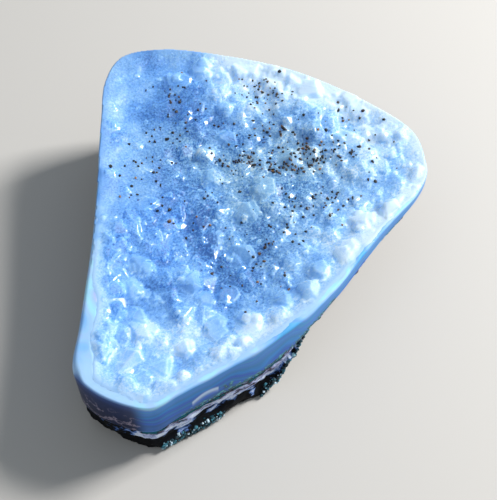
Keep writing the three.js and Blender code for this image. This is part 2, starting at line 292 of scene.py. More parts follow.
# %% [markdown]
# ## Putting a surface into a mesh
#
# Two helpers serve every piece. One joins rings of places into a closed solid, from a bottom point
# to a top point. The other puts points and faces into a mesh object, stores values that the
# materials read, and lets the piece ride on the specimen's one body.


# %% Rings to a closed solid, and arrays to a piece
def ring(share, height):
    """A ring of places at a share of the way from the centre to the wall, at a height there."""
    part = np.broadcast_to(share, (COLUMNS,)).astype(float)
    xy = mix(CENTRE, wall, part[:, None])
    return np.column_stack([xy, height(xy, part)])


def centre_point(z):
    """The point over the centre at height z."""
    return np.array([[CENTRE[0], CENTRE[1], z]])


def closed_solid(bottom, rings, top):
    """Points and faces of a solid: a fan below, bands of quads from ring to ring, a fan on top."""
    points = np.vstack([bottom, *rings, top])
    here = np.arange(COLUMNS)
    beyond = (here + 1) % COLUMNS
    starts = 1 + COLUMNS * np.arange(len(rings) - 1)[:, None]
    corners = (starts + here, starts + beyond, starts + COLUMNS + beyond, starts + COLUMNS + here)
    quads = np.stack(corners, axis=-1).reshape(-1, 4)
    last = 1 + COLUMNS * (len(rings) - 1)
    low_fan = np.column_stack([np.zeros(COLUMNS, int), 1 + beyond, 1 + here])
    high_fan = np.column_stack([np.full(COLUMNS, len(points) - 1), last + here, last + beyond])
    return points, quads.tolist() + low_fan.tolist() + high_fan.tolist()


def add_piece(name, points, faces, slot, smooth_faces, **values):
    """Makes one piece from points in mm, its faces, and a value per point for each name given."""
    mesh = bpy.data.meshes.new(name)
    mesh.from_pydata(points * MM, [], faces)
    if smooth_faces:
        mesh.shade_smooth()
    for key, value in values.items():
        layer = mesh.attributes.new(key, "FLOAT", "POINT")
        layer.data.foreach_set("value", np.asarray(value, np.float32))
    piece = bpy.data.objects.new(name, mesh)
    bpy.context.scene.collection.objects.link(piece)
    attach(piece, "root")
    triangles = sum(len(face) - 2 for face in faces)
    print(f"{name}: {len(points)} points, {triangles} triangles")
    return piece


# %% [markdown]
# ## The agate band
#
# The agate is chalcedony, quartz in fibres too fine to see. Its side was ground and polished, so
# the wall is smooth and its upper edge is rounded over. Inside, it steps down to the floor that the
# crystals stand on. One stack of rings makes all of it: back, wall, lip, bare margin and floor.

# %% Rings of the agate
LIP_STEPS = 8
WALL_STEPS = 34
EDGE_CHAMFER = 0.3
STEP_SLOPE = 0.1  # the step down to the floor leans this far outwards
FLOOR_SHARES = (1.0, 0.9, 0.8, 0.65, 0.5, 0.25)  # places of the floor's rings, from its edge in
CRUST_THICKNESS = 2.4
CRUST_AT_EDGE = 1.0
WALL_WAVE = 0.07  # hand grinding leaves the wall this far from true
WAVE_SIZE = 7.0


def floor_height(xy):
    """The hollow's surface less the thickness of the crust on it, which thins to the edge."""
    share = np.minimum(share_of_hollow(xy), 1.0)
    return hollow_surface(xy, share) - mix(CRUST_THICKNESS, CRUST_AT_EDGE, share**4)


def lip_ring(degrees):
    """A ring on the lip's quarter round, from the wall at 0 degrees to the top at 90."""
    turn = math.radians(degrees)
    share = 1.0 - lip * (1.0 - math.cos(turn)) / reach
    return ring(share, lambda xy, part: lip_plane(xy) - lip * (1.0 - math.sin(turn)))


wall_foot = ring(1.0, agate_under)
wall_foot[:, 2] += EDGE_CHAMFER
wall_top = lip_ring(0)
agate_rings = [ring(share, agate_under) for share in (0.45, 0.7, 0.85, 0.94, 0.99)]
agate_rings += [mix(wall_foot, wall_top, row / WALL_STEPS) for row in range(WALL_STEPS)]
agate_rings += [lip_ring(90.0 * row / LIP_STEPS) for row in range(LIP_STEPS + 1)]
inner_edge = hollow + STEP_SLOPE / reach
agate_rings += [
    ring(mix(1.0 - lip / reach, inner_edge, part), lambda xy, share: lip_plane(xy))
    for part in (0.25, 0.5, 0.75, 1.0)
]
agate_rings += [
    ring(hollow * part, lambda xy, share: floor_height(xy)) for part in FLOOR_SHARES
]
agate_points, agate_faces = closed_solid(
    centre_point(lip_plane(CENTRE) - AGATE_DEPTH),
    agate_rings,
    centre_point(floor_height(CENTRE)),
)
on_wall = share_of_hollow(agate_points[:, :2]) > 1.0
outward = agate_points[:, :2] - CENTRE
outward /= np.maximum(np.linalg.norm(outward, axis=1, keepdims=True), 1e-9)
wave = WALL_WAVE * (unevenness(agate_points, WAVE_SIZE, 3) - 1.0) * on_wall
agate_points[:, :2] += outward * wave[:, None]

# %% [markdown]
# The wall's colour deepens with the depth under the lip, so each point stores that depth. The
# deepening is partly the agate's own layers and partly painted shade, as the front wall faces away
# from the light. Three more values mark what only some of the wall has. The end facet at the lower
# left is painted dark, as the shade on a face turned from the light. A pale arc, an old crack healed
# by quartz, lies in the front wall 5 mm under the lip. Celadonite from the rock reaches up in
# flecks into the foot of that wall.

# %% Mark the agate's colours and make the piece
ARC_START, ARC_SPAN = -11.8, 4.4  # the arc's left end and width along x
ARC_DEPTH, ARC_RISE, ARC_SLOPE = 5.4, 0.9, 0.4
ARC_ABOVE, ARC_BELOW = 0.35, 0.9  # it ends sharply above and fades out below

agate_xy = agate_points[:, :2]
at_x, at_y = agate_xy.T
in_front = at_y < -16.0
below_lip = lip_plane(agate_xy) - agate_points[:, 2]
up_from_foot = edge_of(agate_xy, band) - below_lip
# The rounded lip on the left is as pale as the margin, so the colour, painted shade and all, starts
# to deepen lower there.
pale_lip = ease(at_x, -28.0, -30.0) * ease(at_y, -34.0, -31.5)
below_lip -= np.minimum(below_lip, 1.6) * pale_lip
# The wall is paler where it runs up towards the right: its colour, painted shade and all, deepens
# more slowly there.
below_lip *= 1.0 - 0.5 * ease(at_x, -6.0, 0.0) * ease(at_x, 12.0, 8.0) * in_front
# Where the end facet is painted dark, as the shade on a face turned from the light.
end_facet = ease(at_x, -19.0, -22.0) * ease(at_y, -28.5, -31.5)
arc_part = (at_x - ARC_START) / ARC_SPAN
arc_bow = ARC_RISE * np.sin(np.pi * np.clip(arc_part, 0.0, 1.0))
from_arc = below_lip - (ARC_DEPTH - arc_bow - ARC_SLOPE * arc_part)
arc = np.exp(-((from_arc / np.where(from_arc < 0.0, ARC_ABOVE, ARC_BELOW)) ** 2))
arc *= (arc_part > 0.0) * (arc_part < 1.0) * in_front
along_foot = ease(up_from_foot, 2.6, 0.4) * ease(at_x, -16.0, -12.0)
beside_arc = bell_at(np.column_stack([at_x, up_from_foot]), -6.0, 2.4, 2.2, 1.4)
fleck = np.maximum(along_foot, 0.9 * beside_arc) * in_front
agate = add_piece(
    "agate_wall",
    agate_points,
    agate_faces,
    "agate",
    True,
    below_lip=below_lip,
    end_facet=end_facet,
    arc=arc,
    fleck=fleck,
)
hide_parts("agate_band")

# %% [markdown]
# ## The rind of basalt
#
# The rock was broken, not ground, so its side steps in and out under the smooth agate. Three zones
# lie on one another: a pale seam of zeolite at the agate, a hollow black band of basalt, and a
# ledge with a teal skin of celadonite at the foot. The side is a profile of insets carried round
# the wall, and noise at several sizes breaks it up.

# %% Heights and zones of the rock
LAYER_GAP = 0.05
SIDE_ROWS = 44
UNDER_ROWS = 22
FLAT_REACH = 0.56  # the underside is flat over this share of the way out to the wall
ROUGHNESS = 0.75  # height of the lumps underneath
ROUGH_BIAS = 0.4  # lifts the lumps, so that more of the underside is hollow than proud
STAND_BACK = 0.08  # how far the side stands back, for each mm that its foot is off the table
FURTHEST_OUT = 0.3
# How far the side stands in from the wall, at shares of the way up from the foot.
SIDE_UP = (0.0, 0.08, 0.22, 0.32, 0.42, 0.56, 0.64, 0.74, 0.86, 0.95, 1.0)
SIDE_INSET = (0.7, 0.4, 0.5, 0.8, 1.1, 1.0, 0.6, 0.2, 0.35, 0.15, 0.2)
LEDGE_OUT = 0.9  # how much further the ledge stands out at the foot
BREAK_DEPTH, COARSE_BREAK_DEPTH = 0.9, 0.4
# The pale seam's share of the side, at places along x. It widens to the rise on the right.
SEAM_X = (-32, -20, -14, -4, 1, 6, 12)
SEAM_SHARE = (0.26, 0.4, 0.6, 0.6, 0.66, 0.84, 0.84)
SEAM_WANDER = 0.62
SEAM_END = 0.4  # the zone value at which the seam ends, all the way round


def ledge_at(xy):
    """1 on the two stretches of the front that have the teal ledge, and 0 elsewhere."""
    x = xy[..., 0]
    near_corner = ease(x, -18.5, -17.0) * ease(x, -6.0, -7.5)
    near_rise = ease(x, -0.5, 1.0) * ease(x, 9.0, 7.5)
    return (near_corner + near_rise) * ease(xy[..., 1], -16.5, -18.5)


def seam_at(xy):
    """The seam's share of the side, narrowed and widened by noise."""
    middling = np.interp(xy[..., 0], SEAM_X, SEAM_SHARE)
    return middling * (1.0 + SEAM_WANDER * ruggedness(on_level(xy), 3.4, 3, 71))


def rock_under(xy, share):
    """Zero under the flat, then an eased rise to the foot, with lumps that never pass below 0."""
    rise = ease(share, FLAT_REACH, 1.0) * foot
    lumps = ROUGHNESS * (ruggedness(on_level(xy), 5.0, 4, 11) + ROUGH_BIAS)
    return np.maximum(0.0, rise + np.minimum(1.0, rise) * lumps)


def rock_top(xy, share):
    """Just under the back of the agate."""
    return agate_under(xy, share) - LAYER_GAP


def side_ring(up):
    """A ring on the broken side: the profile's inset, more where the foot is high, plus noise."""
    level = mix(rock_under(wall, np.ones(COLUMNS)), rock_top(wall, 1.0), up)
    here = np.column_stack([wall, level])
    broken = BREAK_DEPTH * ruggedness(here, 2.6, 5, 23)
    broken += COARSE_BREAK_DEPTH * ruggedness(here, 6.0, 2, 31)
    fade = ease(up, 1.0, 0.88)
    ledge = LEDGE_OUT * ledge_at(wall) * ease(up, 0.0, 0.06) * ease(up, 0.34, 0.24)
    profile = np.interp(up, SIDE_UP, SIDE_INSET) + STAND_BACK * foot * (1.0 - up)
    inset = np.maximum(profile + broken * fade - ledge, -FURTHEST_OUT)
    share = 1.0 - inset / reach
    return ring(share, lambda xy, part: level)


# %% Make the rock
rock_rings = [ring(share, rock_under) for share in np.linspace(0.08, 0.93, UNDER_ROWS)]
rock_rings += [side_ring(up) for up in np.linspace(0.0, 1.0, SIDE_ROWS)]
rock_rings += [ring(share, rock_top) for share in (0.9, 0.6, 0.3)]
rock_points, rock_faces = closed_solid(
    centre_point(0.0), rock_rings, centre_point(lip_plane(CENTRE) - AGATE_DEPTH - LAYER_GAP)
)
rock_xy = rock_points[:, :2]
contact = lip_plane(rock_xy) - edge_of(rock_xy, band)
side_height = np.maximum(contact - edge_of(rock_xy, foot), 1.0)
down = (contact - rock_points[:, 2]) / side_height
seam = seam_at(rock_xy)
under_seam = mix(SEAM_END, 1.0, (down - seam) / (1.0 - seam))
zone = np.where(down < seam, SEAM_END * down / seam, under_seam)
# Under the end facet the seam is only a few flecks in the black rock.
zone = np.maximum(zone, 0.43 * ease(rock_xy[:, 0], -20.0, -23.0))
rock = add_piece(
    "basalt_side",
    rock_points,
    rock_faces,
    "basalt",
    True,
    zone=zone,
    ledge=ledge_at(rock_xy),
)
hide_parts("basalt_rind")

# %% [markdown]
# ## The surface that the crystals stand on
#
# Between the crystals lies milky quartz, the roots of all of them grown together. It follows the
# hollow, rises to the lip at the edge, and swells a little under each patch of crystals.
#
# The quartz isn't equally blue, grey and coarse all over. These three are functions of the place as
# well, so that the crystals can be coloured one by one, and a patch can be moved by its numbers.
# The blue is partly painted shade and light: darker in the deep valley, paler at the lit back.

# %% The ground of the druse, and how pale and how coarse the quartz is
EDGE_FILL = 0.84  # the ground rises this much towards the lip at the hollow's edge
FILL_REACH = 7.0
KNOLL = 0.35  # height of the knolls that neighbouring crystals form
MARGIN_PALENESS = 0.57


def distance_inside(xy):
    """How far inside the hollow's edge each place is. It is negative beyond the edge."""
    return (1.0 - share_of_hollow(xy)) * edge_of(xy, reach * hollow)


def ground(xy):
    """The hollow's surface, raised at its edge to meet the lip, with knolls of 5 and 2 mm."""
    inside = distance_inside(xy)
    level = on_level(xy)
    knolls = KNOLL * (unevenness(level, 5.0, 41) + 0.5 * unevenness(level, 2.1, 43))
    fill = EDGE_FILL * ease(inside, FILL_REACH, 0.0)
    dish = hollow_surface(xy, np.minimum(share_of_hollow(xy), 1.0))
    return dish + fill + knolls * ease(inside, 0.0, 3.0)


def specked_at(xy):
    """Where the specks lie thickest, 0 to 1."""
    return bell_at(xy, 4.0, 10.0, 15.0, 13.0)


def dusky_at(xy):
    """How greyish the blue is, 0 to 1: most in the middle, less below it and to its left."""
    valley = 0.5 * bell_at(xy, -3.0, -8.0, 11.0, 13.0) + 0.6 * bell_at(xy, -14.0, 15.0, 8.0, 8.0)
    return np.clip(specked_at(xy) + valley, 0.0, 1.0)


def pale_at(xy):
    """How pale the quartz is, 0 to 1: bluest in the deep valley, palest at the right and front."""
    x, y = xy[..., 0], xy[..., 1]
    inside = distance_inside(xy)
    # Painted shade: the deep valley is bluest, as the shade in a hollow.
    valley = 0.16 * ease(np.abs(x + 10.0 + 0.1 * y), 0.0, 14.0)
    right = 0.24 * ease(x, 2.0, 22.0)
    edge = 0.4 * ease(inside, 7.0, 0.0) * ease(x, -22.0, -6.0)
    front_left = ease(x, -12.0, -26.0)
    front = 0.45 * ease(y, -12.0, -28.0) * (1.0 - 0.85 * front_left)
    front += 0.26 * ease(y, -25.0, -30.0) * front_left + 0.12 * bell_at(xy, -5.0, -25.0, 7.0, 4.0)
    # Painted light: the back, where the light falls, is paler.
    back = 0.5 * ease(y, 19.0, 29.0) * ease(x, -20.0, -4.0)
    level = on_level(xy)
    drift = 0.18 * unevenness(level, 6.0, 51) + 0.14 * unevenness(level, 2.5, 53)
    fine_corner = 0.07 * ease(x, -14.0, -22.0) * ease(y, 4.0, 12.0)
    grown = valley + right + edge + front + back + drift + fine_corner
    grown = np.clip(grown + 0.12 * specked_at(xy), -0.2, 1.0)
    # Beside the bare margin the thin quartz takes on the margin's own paleness.
    at_margin = ease(inside, 2.0, 0.0) * ease(edge_of(xy, bare), 0.9, 1.3)
    return mix(grown, MARGIN_PALENESS, at_margin)


def coarse_at(xy):
    """How coarse the crystals grew, 0 to 1: fine at the upper left, coarse elsewhere."""
    x, y = xy[..., 0], xy[..., 1]
    fine = ease(x, -11.0, -19.0) * ease(y, -4.0, 8.0)
    return np.clip(1.0 - fine + 0.25 * unevenness(on_level(xy), 5.0, 61), 0.0, 1.0)


# %% [markdown]
# ## The crystals
#
# Quartz grows as a six-sided prism under a six-sided pyramid. Of the pyramid's faces, three are
# often large and three small, so the tip sits to one side. A cone with six sides would miss this.
# Each crystal here has twelve faces, each moved in or out a little, as in nature.
#
# A druse is what is left of a race. Crystals start at every angle, and those that point straight
# out of the wall outgrow the rest. So they stand near the surface's normal, each leaning its own
# way, and lie in steps of size. They could be thousands of single meshes, but these would cut
# through one another, and the light could not spread from one to the next as it does in milky
# quartz. So the druse is one sheet, and each crystal lifts it where its faces stand above it.

# %% Axes, turns and places of crystals
rng = np.random.default_rng(11)
FACE_ANGLE = math.radians(38.2)  # a pyramid face stands this far from the crystal's axis
APOTHEM = math.cos(math.pi / 6)
# The ones that stand out, each x, y and radius.
LARGE_CRYSTALS = np.array([
    (-12.3, 34.0, 2.7), (-16.4, 30.9, 2.8), (-8.2, 32.6, 2.3), (-6.8, 24.9, 2.0),
    (-10.8, 14.4, 2.2), (-6.6, 18.3, 2.6), (-9.3, 9.2, 2.4), (-21.3, 2.1, 2.2),
    (-2.6, 1.3, 2.9), (0.4, 6.4, 3.0), (5.5, 13.4, 3.0), (10.1, 28.4, 3.2),
    (16.5, 17.7, 2.6), (21.9, 18.5, 2.6), (23.4, 1.0, 2.6), (18.5, -1.4, 3.2),
    (15.0, -8.0, 3.3), (10.4, -12.4, 2.2), (8.0, -16.0, 2.7), (3.9, -17.9, 2.2),
    (-2.3, -22.0, 3.1), (-7.8, -22.8, 2.9), (-3.7, -7.7, 3.1), (-12.9, -14.0, 2.8),
    (-6.2, -16.4, 2.3), (-9.8, -17.3, 1.9), (-21.8, -10.6, 2.7), (-22.4, -16.1, 2.3),
    (-20.6, -22.2, 3.4), (-23.0, -29.0, 2.9), (-16.8, -30.4, 3.2), (-13.2, -26.8, 2.1),
])


def lattice_places(spacing, jitter, inset):
    """Places on a lattice of equal triangles, each moved by a random part of the spacing."""
    half = np.ptp(wall, axis=0) / 2
    rows = np.arange(-half[1], half[1], spacing * math.sqrt(3) / 2)
    columns = np.arange(-half[0], half[0], spacing)
    x, y = np.meshgrid(columns, rows)
    x = x + spacing / 2 * (np.arange(len(rows)) % 2)[:, None]
    places = np.column_stack([x.ravel(), y.ravel()])
    places += jitter * spacing * rng.uniform(-1, 1, places.shape)
    return places[distance_inside(places) > inset]


def clear_of(places, others, other_radii, share):
    """Which places are further from every other crystal than a share of that crystal's radius."""
    gaps = np.linalg.norm(places[:, None] - others[None], axis=-1)
    return (gaps > share * other_radii[None]).all(axis=1)


def random_axes(places, lean):
    """The ground's normals, each leant over by a random part along x and along y."""
    step = 0.25
    rise_x = ground(places + [step, 0.0]) - ground(places - [step, 0.0])
    rise_y = ground(places + [0.0, step]) - ground(places - [0.0, step])
    axis = np.column_stack([-rise_x, -rise_y, np.full(len(places), 2.0 * step)]) / (2.0 * step)
    axis[:, :2] += rng.normal(0, lean, (len(places), 2))
    return axis / np.linalg.norm(axis, axis=1, keepdims=True)


def random_turns(places):
    """A random turn for each place."""
    return rng.uniform(0, 2 * np.pi, len(places))


def matrices(*rows):
    """One matrix for each crystal, from rows with an array of numbers for each place in them."""
    return np.stack([np.stack(row, axis=-1) for row in rows], axis=1)


def turning(angle):
    """Rotations about the upright: the cosine and sine of each angle in a matrix."""
    zero, one = np.zeros(len(angle)), np.ones(len(angle))
    return matrices(
        (np.cos(angle), -np.sin(angle), zero),
        (np.sin(angle), np.cos(angle), zero),
        (zero, zero, one),
    )


def leaning(axis):
    """Rotations that bring the upright to each axis by the shortest way."""
    ax, ay, az = axis.T
    return matrices(
        (1 - ax**2 / (1 + az), -ax * ay / (1 + az), ax),
        (-ax * ay / (1 + az), 1 - ay**2 / (1 + az), ay),
        (-ax, -ay, az),
    )


# %% Crystals in four sizes
LARGE_LEAN = 0.16
TWINS = 3
TWIN_SHIFTS = (0.25, 0.6)  # how far a twin stands from its crystal's centre, in its radii
TWIN_RADII = (0.55, 0.85)
# The spacing, the jitter, the smallest and largest radius, the lean, and how far from a large one.
LAYERS = (
    (3.6, 0.36, 2.0, 2.9, 0.22, 1.2),
    (2.6, 0.4, 0.8, 1.3, 0.3, 0.9),
    (0.9, 0.4, 0.34, 0.6, 0.36, 0.85),
)
FINE_RADIUS = 0.5  # crystals below this radius grow everywhere, larger ones where it is coarse


def beside(places, radii, axis, turn, count):
    """Smaller crystals that grew in line with each given one: the same axis and turn."""
    angle = rng.uniform(0, 2 * np.pi, (len(places), count))
    away = rng.uniform(*TWIN_SHIFTS, (len(places), count)) * radii[:, None]
    shift = np.stack([np.cos(angle), np.sin(angle)], axis=-1) * away[..., None]
    small = rng.uniform(*TWIN_RADII, (len(places), count)) * radii[:, None]
    spread = (places[:, None] + shift).reshape(-1, 2)
    return spread, small.ravel(), np.repeat(axis, count, axis=0), np.repeat(turn, count)


large_at, large_radii = LARGE_CRYSTALS[:, :2], LARGE_CRYSTALS[:, 2]
large_axes, large_turns = random_axes(large_at, LARGE_LEAN), random_turns(large_at)
large = (large_at, large_radii, large_axes, large_turns)
groups = [[np.concatenate(pair) for pair in zip(large, beside(*large, TWINS))]]
# A large crystal and its twins count as one, with one number, and the others each have their own.
large_count = len(LARGE_CRYSTALS)
owners = [np.append(np.arange(large_count), np.repeat(np.arange(large_count), TWINS))]
for spacing, jitter, least, most, lean, clear in LAYERS:
    places = lattice_places(spacing, jitter, 0.3 * least)
    places = places[clear_of(places, large_at, large_radii, clear)]
    if least > FINE_RADIUS:
        places = places[coarse_at(places) > rng.uniform(0, 1, len(places))]
    radii = rng.uniform(least, most, len(places))
    owners.append(large_count + np.arange(len(places)))
    groups.append([places, radii, random_axes(places, lean), random_turns(places)])
print("crystals of each size:", [len(group[0]) for group in groups])

# %% [markdown]
# Each crystal raises the sheet, the largest first. The faces also leave values on the sheet: each
# face's own tone, and which crystal owns a place, so that a crystal can be outlined and tinted as
# one. The tone paints each face a little paler or bluer, as painted light for what each face
# refracts, and also sets its gloss. The outline is a painted highlight. Last come the glints. On the
# real piece a few dozen blunt ends happen to face the light and flash white. Waiting for chance to
# turn one of thousands that way would leave the picture dull, so some crystals are turned on
# purpose.
#
# At its edge the sheet thins out over the ground agate. It is cut by a plane that slopes down to
# the lip, made a little uneven, so there is no step where the quartz ends.

# %% Sizes of the sheet, the crystals' feet and the glints
GRID = 0.195
RELIEF = 0.8  # the faces stand this much of their full height above the ground
UNDER_MARGIN = 0.9  # the sheet runs on this far beneath the bare margin
FEATHER = 0.45  # the quartz thins out over this much of the agate's margin
FEATHER_SLOPE = 0.1  # rise of the cutting plane, for each mm inwards
CRUMBS = 0.03  # height of the crumbs that make its thin edge uneven
OVER_LIP = 0.3  # where almost no margin is bare, the crystals stand this far above the lip
GLINT_SPACING, GLINT_JITTER, GLINT_INSET = 5.6, 0.48, 1.5
GLINT_RADII = (0.5, 1.4)
GLINT_SINK = 0.1
GLINT_LEAN = 0.05
# Halfway between the light and a viewer in front, leant over more to make up for RELIEF.
GLINT_AXIS = np.array([0.5, -0.19, 0.9])
# Four broad ends flash less sharply. Each is x, y and radius.
BROAD_GLINTS = np.array([(-10.0, 14.1, 1.9), (-7.8, 9.9, 1.8), (-14.6, 8.6, 1.5), (-6.8, 25.1, 1.7)])
FULL_GLOSS, HALF_GLOSS = 1.0, 0.52
SINKS = (0.08, 0.18, 0.25, 0.45)  # depth of the shoulder under the ground, in radii
ON_SHEET = (False, False, False, True)  # only the smallest stand on the larger ones
OUTLINED_FROM = 1.5  # crystals from this radius up have an owner's number
UPRIGHT = 0.05  # a face steeper than this is leant to it, as a sheet of heights has no upright face
BLUNT = (0.2, 0.55)  # height of the blunt end that cuts off the tip, in radii above the shoulder
BLUNT_LEAN = 0.12
PRISM_SPREAD = 0.12  # a face of the prism stands in or out by up to this share of the radius
PYRAMID_SPREAD = (0.08, 0.3)  # the same for the pyramid. It differs from crystal to crystal.
LARGE_FACE, SMALL_FACE = -1.0, 0.4  # every other face stands further in, which makes it larger
FACE_VARIATION = 0.4
OWN_TONE = 0.6  # this share of a face's tone is its own, and the rest is its crystal's

x_line = np.arange(wall_x.min(), wall_x.max(), GRID)
y_line = np.arange(wall_y.min(), wall_y.max(), GRID)
sheet_xy = np.stack(np.meshgrid(x_line, y_line), axis=-1)
bed = ground(sheet_xy)
sheet = bed.copy()
own_tone = np.full(sheet.shape, 0.5)
owner_at = np.full(sheet.shape, -1)


# %% Lift the sheet by each crystal
def lift(places, radii, axis, turn, sink, owner, on_sheet):
    """Raises the sheet to the crystals' faces, and notes each face's tone and each place's owner.

    A face is the plane normal . p = distance. Above a place, the crystal reaches up to the lowest
    of the faces that look up, unless a face that looks down lies higher still. The crystals stand
    on the sheet as it is so far, or else on the ground.
    """
    around = np.arange(6) * np.pi / 3
    level = np.column_stack([np.cos(around), np.sin(around), np.zeros(6)])
    raised = level * math.cos(FACE_ANGLE) + [0.0, 0.0, math.sin(FACE_ANGLE)]
    count = len(places)
    blunt = axis + np.column_stack([rng.normal(0, BLUNT_LEAN, (count, 2)), np.zeros(count)])
    faces = np.einsum("nij,fj->nfi", leaning(axis) @ turning(turn), np.vstack([level, raised]))
    faces = np.concatenate([faces, blunt[:, None]], axis=1)
    faces[..., 2] = np.where(np.abs(faces[..., 2]) < UPRIGHT, UPRIGHT, faces[..., 2])
    prism = 1.0 + PRISM_SPREAD * rng.uniform(-1, 1, (count, 6))
    large_and_small = np.where(np.arange(6) % 2 == 0, LARGE_FACE, SMALL_FACE)
    large_and_small = large_and_small + rng.normal(0, FACE_VARIATION, (count, 6))
    pyramid = 1.0 + rng.uniform(*PYRAMID_SPREAD, (count, 1)) * large_and_small
    distances = APOTHEM * np.hstack([prism, math.cos(FACE_ANGLE) * pyramid])
    distances = np.hstack([distances, rng.uniform(*BLUNT, (count, 1))]) * radii[:, None]
    near_row = np.clip(np.searchsorted(y_line, places[:, 1]), 0, len(y_line) - 1)
    near_column = np.clip(np.searchsorted(x_line, places[:, 0]), 0, len(x_line) - 1)
    feet = (sheet[near_row, near_column] if on_sheet else ground(places)) - sink * radii
    tones = mix(rng.uniform(0, 1, (count, 1)), rng.uniform(0, 1, faces.shape[:2]), OWN_TONE)
    for (x, y), radius, foot_z, planes, limits, tone, mine in zip(
        places, radii, feet, faces, distances, tones, owner
    ):
        rows = slice(*np.searchsorted(y_line, (y - 2 * radius, y + 2 * radius)))
        columns = slice(*np.searchsorted(x_line, (x - 2 * radius, x + 2 * radius)))
        across = (x_line[columns] - x)[None, :, None] * planes[:, 0]
        along_y = (y_line[rows] - y)[:, None, None] * planes[:, 1]
        heights = (limits - across - along_y) / planes[:, 2]
        upward = np.where(planes[:, 2] > 0, heights, np.inf)
        top = upward.min(axis=-1)
        under = np.where(planes[:, 2] < 0, heights, -np.inf).max(axis=-1)
        grown = (top > under) & (foot_z + top > sheet[rows, columns])
        sheet[rows, columns][grown] = foot_z + top[grown]
        own_tone[rows, columns][grown] = tone[upward.argmin(axis=-1)[grown]]
        if radii.max() > OUTLINED_FROM:
            owner_at[rows, columns][grown] = mine


for group, sink, owner, on_sheet in zip(groups, SINKS, owners, ON_SHEET):
    lift(*group, sink, owner, on_sheet)


def lift_glints(places, radii, tone):
    """Crystals whose blunt ends face the light. The tone of all their faces sets their gloss."""
    before = sheet.copy()
    axis = GLINT_AXIS + rng.normal(0, GLINT_LEAN, (len(places), 3))
    axis /= np.linalg.norm(axis, axis=1, keepdims=True)
    no_owner = np.full(len(places), -1)
    lift(places, radii, axis, random_turns(places), GLINT_SINK, no_owner, True)
    own_tone[sheet > before] = tone


lift_glints(BROAD_GLINTS[:, :2], BROAD_GLINTS[:, 2], HALF_GLOSS)
glint_at = lattice_places(GLINT_SPACING, GLINT_JITTER, GLINT_INSET)
lift_glints(glint_at, rng.uniform(*GLINT_RADII, len(glint_at)), FULL_GLOSS)

# %% Thin the sheet out at its edge
# Each pair is the bare margins between which the edge of the quartz changes.
CROWDED = (0.7, 0.4)  # it comes to stand over the lip
BROAD = (0.9, 1.5)  # it thins out over a broader strip
THIN_OVER, BROADER_BY = 0.8, 1.6

inside = distance_inside(sheet_xy)
bare_here = edge_of(sheet_xy, bare)
crowded = ease(bare_here, *CROWDED)
thin_over = THIN_OVER + BROADER_BY * ease(bare_here, *BROAD)
thin_edge = smooth((inside + FEATHER) / thin_over)
sheet = bed + (sheet - bed) * RELIEF * thin_edge
crumbs = CRUMBS * ruggedness(on_level(sheet_xy), 0.9, 2, 83)
cut = lip_plane(sheet_xy) + FEATHER_SLOPE * (inside + FEATHER) + crumbs + OVER_LIP * crowded
sheet = np.where(inside < 0.0, np.minimum(sheet, cut), sheet)
print(f"the crystals stand up to {(sheet - bed).max():.1f} mm above the ground")

# %% [markdown]
# The grid of heights becomes a mesh where it lies inside the hollow. Its open edge is walked round
# once, and rings of points from there to a point under the centre close it underneath.

# %% Points and faces of the druse
WALL_CLEARANCE = 0.12
kept = (inside > -UNDER_MARGIN) & (inside + bare_here > WALL_CLEARANCE)
cells = kept[:-1, :-1] & kept[1:, :-1] & kept[:-1, 1:] & kept[1:, 1:]
used = np.zeros(kept.shape, bool)
for rows, columns in itertools.product((slice(0, -1), slice(1, None)), repeat=2):
    used[rows, columns] |= cells
number = np.where(used, np.cumsum(used.ravel()).reshape(used.shape) - 1, -1)
row, column = np.nonzero(cells)
quads = np.column_stack([
    number[row, column],
    number[row, column + 1],
    number[row + 1, column + 1],
    number[row + 1, column],
])
sides = np.vstack([quads[:, [k, (k + 1) % 4]] for k in range(4)])
top_count = int(used.sum())
open_sides = sides[~np.isin(sides @ [top_count, 1], sides @ [1, top_count])]
following = dict(open_sides.tolist())
edge_loop = [int(open_sides[0, 0])]
while len(edge_loop) < len(following):
    edge_loop.append(following[edge_loop[-1]])
top_points = np.column_stack([sheet_xy[used], sheet[used]])
edge_xy = top_points[edge_loop, :2]
under_rings = []
for part in FLOOR_SHARES:
    ring_xy = mix(CENTRE, edge_xy, part)
    under_rings.append(np.column_stack([ring_xy, floor_height(ring_xy) + LAYER_GAP]))
lowest = centre_point(floor_height(CENTRE) + LAYER_GAP)
druse_points = np.vstack([top_points, *under_rings, lowest])
count = len(edge_loop)
ring_numbers = [np.array(edge_loop)]
ring_numbers += [top_count + k * count + np.arange(count) for k in range(len(under_rings))]
skirt = [
    np.column_stack([np.roll(upper, -1), upper, lower, np.roll(lower, -1)])
    for upper, lower in zip(ring_numbers, ring_numbers[1:])
]
inmost = ring_numbers[-1]
fan = np.column_stack([np.roll(inmost, -1), np.full(count, len(druse_points) - 1), inmost])
druse_faces = quads.tolist() + np.vstack(skirt).tolist() + fan.tolist()

# %% [markdown]
# The material can't tell one crystal from the next, so the mesh carries what it has to know at each
# point. `ridge` is where the sheet bends outwards, and edges of crystals are paler there, a painted
# highlight. `proud` is how far a crystal stands up, and high tips are painted paler, as lit, than
# the shaded hollows. `outline` runs round each larger crystal, as a pale painted highlight. `gloss`
# picks the few faces that mirror the light. `thick` fades the milky depth out at the edge. `veil` is
# the strength of the cloudy speckle, which the large clear crystals have less of.

# %% Make the druse
RIDGE_BEND = 0.08  # the bend that counts as a full ridge
FULL_HEIGHT = 2.0
SMALL_OUTLINE = 0.55
LARGE_PALER = 0.1
LARGE_CLEARER = 0.55
THICK_OVER = 1.9  # the milky depth grows over this much of the edge
GLINTS_FROM = (0.8, 3.4)  # a glint this near the edge is dull, and this far from it full
VEIL, DUSKY_VEIL = 1.2, 1.3


def beside_each(values):
    """The values of the sheet one cell up, down, left and right of each cell."""
    return [np.roll(values, shift, direction) for shift in (-1, 1) for direction in (0, 1)]


